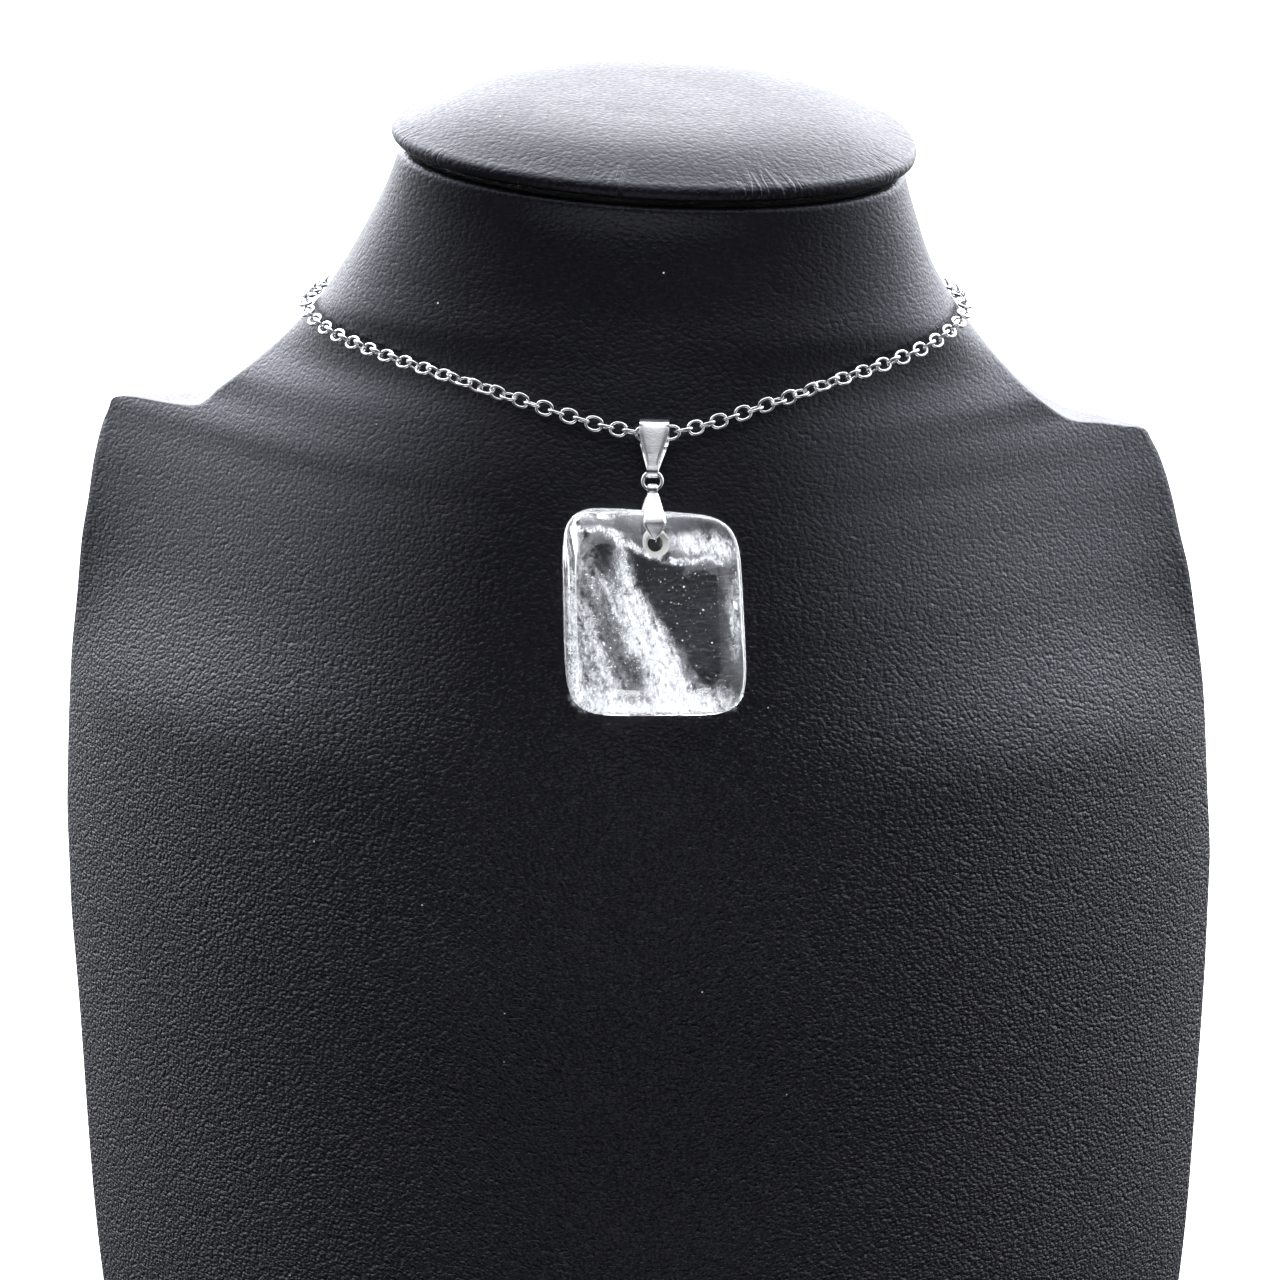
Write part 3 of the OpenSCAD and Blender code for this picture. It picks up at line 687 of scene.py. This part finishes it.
def build_flaws_and_rim_light():
    """Healed cracks inside the stone: three crumpled milky sheets, and small bright flecks along them. Along the rims
    the sheets are painted light, white where the bevels refract light.
    """
    nx, nz = 128, 144
    gx, gz = np.meshgrid(np.linspace(-13.2, 13.2, nx), np.linspace(-14.9, 14.9, nz), indexing="ij")
    gx, gz = gx.ravel(), gz.ravel()
    a = np.arange(nx - 1)[:, None] * nz + np.arange(nz - 1)[None, :]
    quads = np.stack([a, a + nz, a + nz + 1, a + 1], -1).reshape(-1, 4)
    verts, faces, strength, base = [], [], [], 0
    for k, level in enumerate((1.15, 0.0, -1.1)):
        zero = np.zeros(len(gx))
        wave = rough_field(gx, zero, gz, 0.33, 2, 7.3 * k)
        crumple = rough_field(gx, zero, gz, 1.4, 3, 3.1 + 5 * k)
        bend = rough_field(gx, zero + 4, gz, 0.22, 2, 9 * k)
        patch = rough_field(gx * 1.5 + gz * 0.55, zero, gz * 0.42, 0.75, 4, 11.7 * k + 2)
        fine = rough_field(gx * 1.4 + gz * 0.5, zero + 9, gz * 0.6, 2.6, 3, 21 + k)
        y = level + 0.55 * wave + 0.28 * crumple
        c = cloud_and_rim_light_strength(gx + 1.3 * bend + 0.35 * crumple, gz + 0.9 * wave)
        inside = np.abs(np.stack([gx, gz]))
        v = c * (0.55 + 1.0 * patch + 0.6 * fine)
        v = np.clip(v, 0, 1.15) * (0.75 if k != 1 else 1.0)
        # stay inside the stone's rounded edge
        edge = np.clip((13.6 - inside[0]) / 1.2, 0, 1) * np.clip((15.0 - inside[1]) / 1.0, 0, 1)
        y = y * (0.25 + 0.75 * np.clip((12.8 - inside[0]) / 3, 0, 1) * np.clip((14.6 - inside[1]) / 3, 0, 1))
        v = v * smooth01(edge)
        keep = v[quads].max(1) > 0.02
        used = np.unique(quads[keep])
        new = np.full(len(gx), -1)
        new[used] = np.arange(len(used)) + base
        verts.append(np.stack([gx, y, gz], 1)[used])
        strength.append(v[used])
        faces.append(new[quads[keep]])
        base += len(used)
    sheet_faces = np.vstack(faces)
    # flecks
    n = 5500
    fx, fz = rng.uniform(-13, 13, n * 4), rng.uniform(-14.8, 14.8, n * 4)
    odds = np.clip(cloud_and_rim_light_strength(fx, fz), 0, 1.1) + 0.012
    window = (fx > -1) & (fx < 10) & (fz > -9) & (fz < 7)
    odds = np.where(window, np.maximum(odds, 0.06), odds) * np.where(fz > 7, 0.15, 1)
    pick = np.flatnonzero(rng.uniform(0, 1.15, len(fx)) < odds)[:n]
    fx, fz = fx[pick], fz[pick]
    inner = np.abs(fx / 13.2) ** 5 + np.abs(fz / 15) ** 5 < 0.72
    fx, fz = fx[inner], fz[inner]
    room = np.clip((13.4 - np.abs(fx)) / 3, 0.1, 1) * np.clip((15 - np.abs(fz)) / 3, 0.1, 1)
    fy = rng.uniform(-2.3, 2.3, len(fx)) * room
    size = np.exp(rng.normal(-3.4, 0.5, len(fx)))
    size = np.where(rng.uniform(0, 1, len(fx)) < 0.02, size * 2.6, size)
    d1 = unit(rng.normal(0, 1, (len(fx), 3)))
    d2 = unit(np.cross(d1, rng.normal(0, 1, (len(fx), 3))))
    c = np.stack([fx, fy, fz], 1)
    long = rng.uniform(0.8, 2.4, len(fx))[:, None]
    s1 = size[:, None] * d1 * long
    s2 = size[:, None] * d2
    quad = np.stack([c - s1 - s2 * 0.4, c + s1 * 0.3 - s2, c + s1 + s2 * 0.5, c - s1 * 0.4 + s2], 1).reshape(-1, 3)
    fleck_faces = base + np.arange(len(fx) * 4).reshape(-1, 4)
    v = np.vstack(verts + [quad])
    f = [tuple(map(int, q)) for q in np.vstack([sheet_faces, fleck_faces])]
    ob = mesh_piece("crystal_flaws_and_painted_rim_light", place(CRYSTAL_M, v), f, [veil_and_rim_light_material(), fleck_material()])
    kind = np.concatenate([np.zeros(len(sheet_faces), int), np.ones(len(fleck_faces), int)])
    ob.data.polygons.foreach_set("material_index", kind)
    ob.data.polygons.foreach_set("use_smooth", kind == 0)
    layer = ob.data.attributes.new("veil", "FLOAT", "POINT")
    layer.data.foreach_set("value", np.concatenate(strength + [np.ones(len(quad))]).astype(np.float32))
    print("flaws", len(sheet_faces), "quads in the sheets,", len(fleck_faces), "flecks")
    return ob


build_flaws_and_rim_light()


# ---------------------------------------------------------------- findings
def torus(center_M, major, minor, n=96, m=24, arc=360.0):
    a = np.radians(np.linspace(0, arc, n, endpoint=False))
    b = np.linspace(0, 2 * math.pi, m, endpoint=False)
    A, B = np.meshgrid(a, b, indexing="ij")
    x = (major + minor * np.cos(B)) * np.cos(A)
    z = (major + minor * np.cos(B)) * np.sin(A)
    y = minor * np.sin(B)
    v = np.stack([x, y, z], -1).reshape(-1, 3)
    f = ring_faces(n, m) + [((n - 1) * m + k, (n - 1) * m + (k + 1) % m, (k + 1) % m, k) for k in range(m)]
    return place(center_M, v), f


def build_ring():
    v, f = torus(RING_M @ T(0, 0, RING_R), RING_R, RING_WIRE)
    ob = mesh_piece("jump_ring_wire", v, f, SILVER, replaces=["jump_ring"])
    outward(ob)
    return ob


def strip_loop(path, width, bevel, thick, closed=True, flat_share=0.62):
    """A strip that follows a line in the y-z plane, with a raised middle and two sloping sides.
    path is (y, z) of its inner face, width, bevel and thick one number for each point."""
    P = np.asarray(path, float)
    n = len(P)
    if closed:
        t = unit(np.roll(P, -1, 0) - np.roll(P, 1, 0))
    else:
        t = unit(np.gradient(P, axis=0))
    out = np.stack([t[:, 1], -t[:, 0]], 1)
    rows = []
    for i in range(n):
        w, b, th = width[i] / 2, bevel[i], thick[i]
        sec = [(-w, 0), (-w, th - b), (-w * flat_share, th), (w * flat_share, th), (w, th - b), (w, 0)]
        rows.append([(x, P[i, 0] + out[i, 0] * h, P[i, 1] + out[i, 1] * h) for x, h in sec])
    m = 6
    v = np.array(rows).reshape(-1, 3)
    f = ring_faces(n, m)
    if closed:
        f += [((n - 1) * m + k, (n - 1) * m + (k + 1) % m, (k + 1) % m, k) for k in range(m)]
    else:
        f += [tuple(range(m))[::-1], tuple((n - 1) * m + k for k in range(m))]
    return v, f


def soften(ob, width, segs=2, angle=24):
    """Small rounded edges, applied."""
    mod = ob.modifiers.new("edges", "BEVEL")
    mod.width, mod.segments, mod.limit_method, mod.angle_limit = width * MM, segs, "ANGLE", math.radians(angle)
    mod.harden_normals = False
    apply_modifiers(ob)
    for p in ob.data.polygons:
        p.use_smooth = True
    ob.data.set_sharp_from_angle(angle=math.radians(30))


def build_bail():
    # inner line of the strip: small arc round the ring's wire, straight legs, large arc over the chain
    r0, r1 = 0.77, BAIL_BORE
    tilt = math.asin((r1 - r0) / BAIL_LEN)
    lo = [(r0 * math.cos(a), r0 * math.sin(a)) for a in np.linspace(-math.pi / 2, -tilt, 12)]
    hi = [(r1 * math.cos(a), BAIL_LEN + r1 * math.sin(a)) for a in np.linspace(-tilt, math.pi / 2, 20)]
    a0, a1 = np.array(lo[-1]), np.array(hi[0])
    leg = [tuple(a0 + (a1 - a0) * t) for t in np.linspace(0, 1, 12)[1:-1]]
    right = lo + leg + hi
    left = [(-y, z) for y, z in right[::-1]][1:-1]
    path = np.array(right + left)
    z = path[:, 1]
    t = np.clip((z - 0.6) / (BAIL_LEN - 0.8 - 0.6), 0, 1)
    width = BAIL_TIP_W + (BAIL_W - BAIL_TIP_W) * t
    bevel = 0.22 * smooth01((z + 0.2) / 1.2) * smooth01((BAIL_LEN + 0.35 - z) / 0.3)
    thick = np.where(z < 0.6, 0.36, 0.4)
    v, f = strip_loop(path, width, bevel, thick)
    ob = mesh_piece("bail_strip", place(BAIL_M, v), f, SILVER, replaces=["bail"])
    outward(ob)
    soften(ob, 0.07)
    return ob


def leaf(sign):
    """One leaf of the pinch clasp in the stone's frame, y outward by sign: a raised shield that comes to a tip."""
    # z, half width, y of the back, raise of the middle
    rows = [(17.75, 0.72, 0.72, 0.42), (17.1, 0.95, 0.82, 0.46), (16.2, 1.18, 1.35, 0.50), (15.2, 1.38, 2.35, 0.52),
            (14.2, 1.57, 3.0, 0.55), (13.4, 1.7, 3.2, 0.62), (12.7, 1.45, 3.2, 0.50), (11.9, 0.93, 3.2, 0.36), (11.0, 0.22, 3.2, 0.24)]
    verts = []
    for z, w, y, up in rows:
        e = 0.26
        sec = [(-w, y), (-w, y + up * 0.42), (-max(w - e * 1.5, w * 0.35), y + up), (max(w - e * 1.5, w * 0.35), y + up), (w, y + up * 0.42), (w, y)]
        verts += [(x, sign * yy, z) for x, yy in sec]
    m = 6
    f = ring_faces(len(rows), m) + [tuple(range(m))[::-1], tuple((len(rows) - 1) * m + k for k in range(m))]
    return verts, f


def build_pinch():
    parts_v, parts_f = [], []

    def add(v, f):
        base = sum(len(p) for p in parts_v)
        parts_v.append(np.array(v, float))
        parts_f.extend(tuple(base + i for i in g) for g in f)

    for s in (-1, 1):
        v, f = leaf(s)
        add(v, f)
        # pin into the hole, round, with a blunt end
        n = 20
        prof = [(LEG_Y + 0.1, PIN_R), (2.1, PIN_R), (1.9, PIN_R * 0.92), (1.8, PIN_R * 0.7), (1.78, 0.01)]
        a = np.linspace(0, 2 * math.pi, n, endpoint=False)
        pv = np.vstack([np.stack([r * np.cos(a), np.full(n, s * y), 11.25 + r * np.sin(a)], 1) for y, r in prof])
        pf = ring_faces(len(prof), n) + [tuple(range(n))[::-1], tuple((len(prof) - 1) * n + k for k in range(n))]
        add(pv, pf)
    # the eye over the ring: a strip bent round
    a = np.radians(np.linspace(-38, 218, 26))
    path = np.stack([0.65 * np.cos(a), RING_BOTTOM + 0.65 * np.sin(a)], 1)
    k = len(path)
    v, f = strip_loop(path, np.full(k, 1.4), np.full(k, 0.1), np.full(k, 0.37), closed=False)
    add(v, f)
    v = place(CRYSTAL_M, np.vstack(parts_v))
    ob = mesh_piece("pinch_clasp_leaves", v, parts_f, SILVER, replaces=["pinch_clasp"])
    outward(ob)
    soften(ob, 0.045)
    return ob


build_ring()
build_bail()
build_pinch()


# ---------------------------------------------------------------- chain
CHAIN_U0 = math.degrees(math.asin((CHAIN_X - bust_row(CHAIN_LOW)[0][13]) / bust_row(CHAIN_LOW)[0][12]))


def chain_pt(u):
    """Route of the chain at u degrees round the neck, u from -180 to 180."""
    u = np.atleast_1d(np.asarray(u, float))
    d = np.sqrt((u - CHAIN_U0) ** 2 + 16) - 4
    z = CHAIN_LOW + CHAIN_RISE * (1 - np.exp(-d / CHAIN_SWEEP)) + 1.4 * np.sin(np.radians(u))
    off = CHAIN_R + 0.3 + 1.5 * np.exp(-((u - CHAIN_U0) / 6) ** 4) + 0.8 * np.exp(-((np.abs(u) - 180) / 11) ** 2)
    nrm = bust_normal(z, np.radians(u))
    return bust_pt(z, np.radians(u)) + nrm * off[:, None], nrm


LINK_L, LINK_W, LINK_WIRE = 3.0, 2.5, 0.26


def link_mesh(n=28, m=8):
    """One oval link in its own frame: long way along x, plane x-y."""
    a = np.linspace(0, 2 * math.pi, n, endpoint=False)
    A, B = LINK_L / 2 - LINK_WIRE, LINK_W / 2 - LINK_WIRE
    k = 2 / 2.25
    c = np.stack([A * pw(np.cos(a), k), B * pw(np.sin(a), k), np.zeros(n)], 1)
    t = unit(np.roll(c, -1, 0) - np.roll(c, 1, 0))
    side = np.stack([t[:, 1], -t[:, 0], np.zeros(n)], 1)
    b = np.linspace(0, 2 * math.pi, m, endpoint=False)
    v = c[:, None, :] + LINK_WIRE * (np.cos(b)[None, :, None] * side[:, None, :] + np.sin(b)[None, :, None] * np.array([0, 0, 1.0]))
    f = ring_faces(n, m) + [((n - 1) * m + j, (n - 1) * m + (j + 1) % m, (j + 1) % m, j) for j in range(m)]
    return v.reshape(-1, 3), np.array(f)


def build_chain():
    us = np.concatenate([np.linspace(CHAIN_U0, 180, 1400), np.linspace(-180, CHAIN_U0, 1400)[1:]])
    P, N = chain_pt(us)
    s = np.concatenate([[0], np.cumsum(np.linalg.norm(np.diff(P, axis=0), axis=1))])
    total = s[-1]
    # the clasp fills the middle of the nape
    s_back = s[1399]
    gap = 4.9
    span = total - 2 * gap
    pitch = 2.0
    n_side_r = int((s_back - gap) / pitch)
    n_side_l = int((total - s_back - gap) / pitch)
    stations = [s_back - gap - pitch * (i + 0.5) for i in range(n_side_r + 1)][::-1] + [s_back + gap + pitch * (i + 0.5) for i in range(n_side_l + 1)]
    stations = np.array([q for q in stations if -0.5 <= q <= total + 0.5])
    # even out the spacing where the two runs meet at the pendant
    right = np.sort(stations[stations < s_back])
    left = np.sort(stations[stations > s_back])
    room = (right[0] + total - left[-1])
    stretch = (room - pitch) / (len(right) + len(left))
    right = right[-1] - (right[-1] - right) * (1 + stretch / pitch)
    left = left[0] + (left - left[0]) * (1 + stretch / pitch)
    lv, lf = link_mesh()
    verts, faces, base = [], [], 0
    for side, run in ((1, right[::-1]), (-1, left)):
        for k, q in enumerate(run):
            qq = q % total
            p = np.array([np.interp(qq, s, P[:, c]) for c in range(3)])
            e = 0.8
            pa = np.array([np.interp((qq - e) % total, s, P[:, c]) for c in range(3)])
            pb = np.array([np.interp((qq + e) % total, s, P[:, c]) for c in range(3)])
            nn = unit(np.array([np.interp(qq, s, N[:, c]) for c in range(3)]))
            t = unit(pb - pa)
            nn = unit(nn - t * (nn @ t))
            bi = np.cross(nn, t)
            from_front = min(qq, total - qq)
            lay = 45 * smooth01((from_front - 8) / 30) + rng.normal(0, 4)
            roll = math.radians(lay + (90 if k % 2 else 0))
            w = math.cos(roll) * bi + math.sin(roll) * nn
            up = np.cross(t, w)
            yaw = math.radians(rng.normal(0, 1.5))
            tt = math.cos(yaw) * t + math.sin(yaw) * w
            ww = -math.sin(yaw) * t + math.cos(yaw) * w
            verts.append(p + lv[:, :1] * tt + lv[:, 1:2] * ww + lv[:, 2:] * up)
            faces.append(lf + base)
            base += len(lv)
    v = np.vstack(verts)
    f = np.vstack(faces)
    ob = mesh_piece("chain_links", v * MM, [tuple(map(int, x)) for x in f], SILVER_CHAIN, replaces=["chain"])
    print("links", len(verts), "loop", round(total, 1), "pitch", round(pitch + stretch, 3), "triangles", 2 * len(f))
    return ob


build_chain()


def build_clasp():
    """A turned barrel over the two ends at the nape."""
    p, _ = chain_pt(180.0)
    prof = [(-4.5, 0.75), (-4.5, 1.35), (-4.3, 1.62), (-3.9, 1.82), (-3.4, 1.9), (-1.2, 1.9), (-1.05, 1.78), (-0.9, 1.78), (-0.75, 1.9),
            (0.75, 1.9), (0.9, 1.78), (1.05, 1.78), (1.2, 1.9), (3.4, 1.9), (3.9, 1.82), (4.3, 1.62), (4.5, 1.35), (4.5, 0.75)]
    n = 48
    a = np.linspace(0, 2 * math.pi, n, endpoint=False)
    v = np.vstack([np.stack([np.full(n, x), r * np.cos(a), r * np.sin(a)], 1) for x, r in prof]) + p[0]
    f = ring_faces(len(prof), n) + [tuple(range(n))[::-1], tuple((len(prof) - 1) * n + k for k in range(n))]
    ob = mesh_piece("clasp_barrel", v * MM, f, SILVER, replaces=["clasp"], sharp=35)
    outward(ob)
    return ob


build_clasp()


# ---------------------------------------------------------------- floor, world, lights
def build_stage():
    m = Nodes("floor_paper")
    co = m.coords()
    m.link(m.mix(m.noise(co, 6, 2).outputs["Fac"], (0.86, 0.86, 0.87), (0.9, 0.9, 0.91)), m.bsdf.inputs["Base Color"])
    m.bsdf.inputs["Roughness"].default_value = 0.9
    m.bsdf.inputs["Specular IOR Level"].default_value = 0.1
    me = bpy.data.meshes.new("floor")
    n, size = 24, 9.0
    g = np.linspace(-size, size, n)
    X, Y = np.meshgrid(g, g, indexing="ij")
    v = np.stack([X.ravel(), Y.ravel(), np.full(n * n, -0.0002)], 1)
    f = [(i * n + j, (i + 1) * n + j, (i + 1) * n + j + 1, i * n + j + 1) for i in range(n - 1) for j in range(n - 1)]
    me.from_pydata([tuple(p) for p in v], [], f)
    me.materials.append(m.mat)
    ob = bpy.data.objects.new("floor", me)
    bpy.context.scene.collection.objects.link(ob)
    ob.visible_glossy = False
    ob.visible_diffuse = False
    return ob


# soft lights round the set: turn from the front toward the right, height, both in degrees, and strength
SOFT_LIGHTS = [(150, 25, 7.2), (210, 25, 8), (125, 48, 4.2), (235, 48, 4.6), (0, 75, 1.9), (95, 5, 1), (265, 5, 0.9), (0, -40, 1.3)]


def build_world():
    w = bpy.data.worlds.new("studio")
    bpy.context.scene.world = w
    w.use_nodes = True
    t = w.node_tree
    t.nodes.clear()
    new = t.nodes.new
    co = new("ShaderNodeTexCoord")

    def calc(op, *sources):
        n = new("ShaderNodeMath")
        n.operation = op
        for i, v in enumerate(sources):
            if isinstance(v, bpy.types.NodeSocket):
                t.links.new(v, n.inputs[i])
            else:
                n.inputs[i].default_value = v
        return n.outputs[0]

    total = 0.004
    for turn, height, power in SOFT_LIGHTS:
        a, e = math.radians(turn), math.radians(height)
        dot = new("ShaderNodeVectorMath")
        dot.operation = "DOT_PRODUCT"
        t.links.new(co.outputs["Generated"], dot.inputs[0])
        dot.inputs[1].default_value = (math.sin(a) * math.cos(e), -math.cos(a) * math.cos(e), math.sin(e))
        glow = calc("EXPONENT", calc("MULTIPLY_ADD", dot.outputs["Value"], 9.0, -9.0))
        total = calc("MULTIPLY_ADD", glow, power, total)
    lit = new("ShaderNodeBackground")
    lit.inputs["Color"].default_value = (0.93, 0.94, 1.0, 1)
    t.links.new(total, lit.inputs["Strength"])
    seen = new("ShaderNodeBackground")
    seen.inputs["Color"].default_value = (1.0, 0.998, 1.0, 1)
    seen.inputs["Strength"].default_value = 1.05
    path = new("ShaderNodeLightPath")
    mix = new("ShaderNodeMixShader")
    t.links.new(path.outputs["Is Camera Ray"], mix.inputs[0])
    t.links.new(lit.outputs[0], mix.inputs[1])
    t.links.new(seen.outputs[0], mix.inputs[2])
    out = new("ShaderNodeOutputWorld")
    t.links.new(mix.outputs[0], out.inputs[0])


def softbox(name, at, look, size, watts, color=(1, 1, 1)):
    d = bpy.data.lights.new(name, "AREA")
    d.shape, d.size, d.energy, d.color = "SQUARE", size, watts, color
    ob = bpy.data.objects.new(name, d)
    ob.location = at
    ob.rotation_mode = "QUATERNION"
    ob.rotation_quaternion = (Vector(look) - Vector(at)).to_track_quat("-Z", "Y")
    bpy.context.scene.collection.objects.link(ob)
    return ob


build_stage()
build_world()
# bright light for what scatters it, the flaws in the stone above all; polished things don't mirror it
softbox("overhead", (0.0, -0.35, 0.95), (0, -0.04, 0.15), 0.7, 22.0).visible_glossy = False

view = bpy.context.scene.view_settings
view.view_transform = "Standard"
view.look = "None"
view.exposure = 0
view.gamma = 1
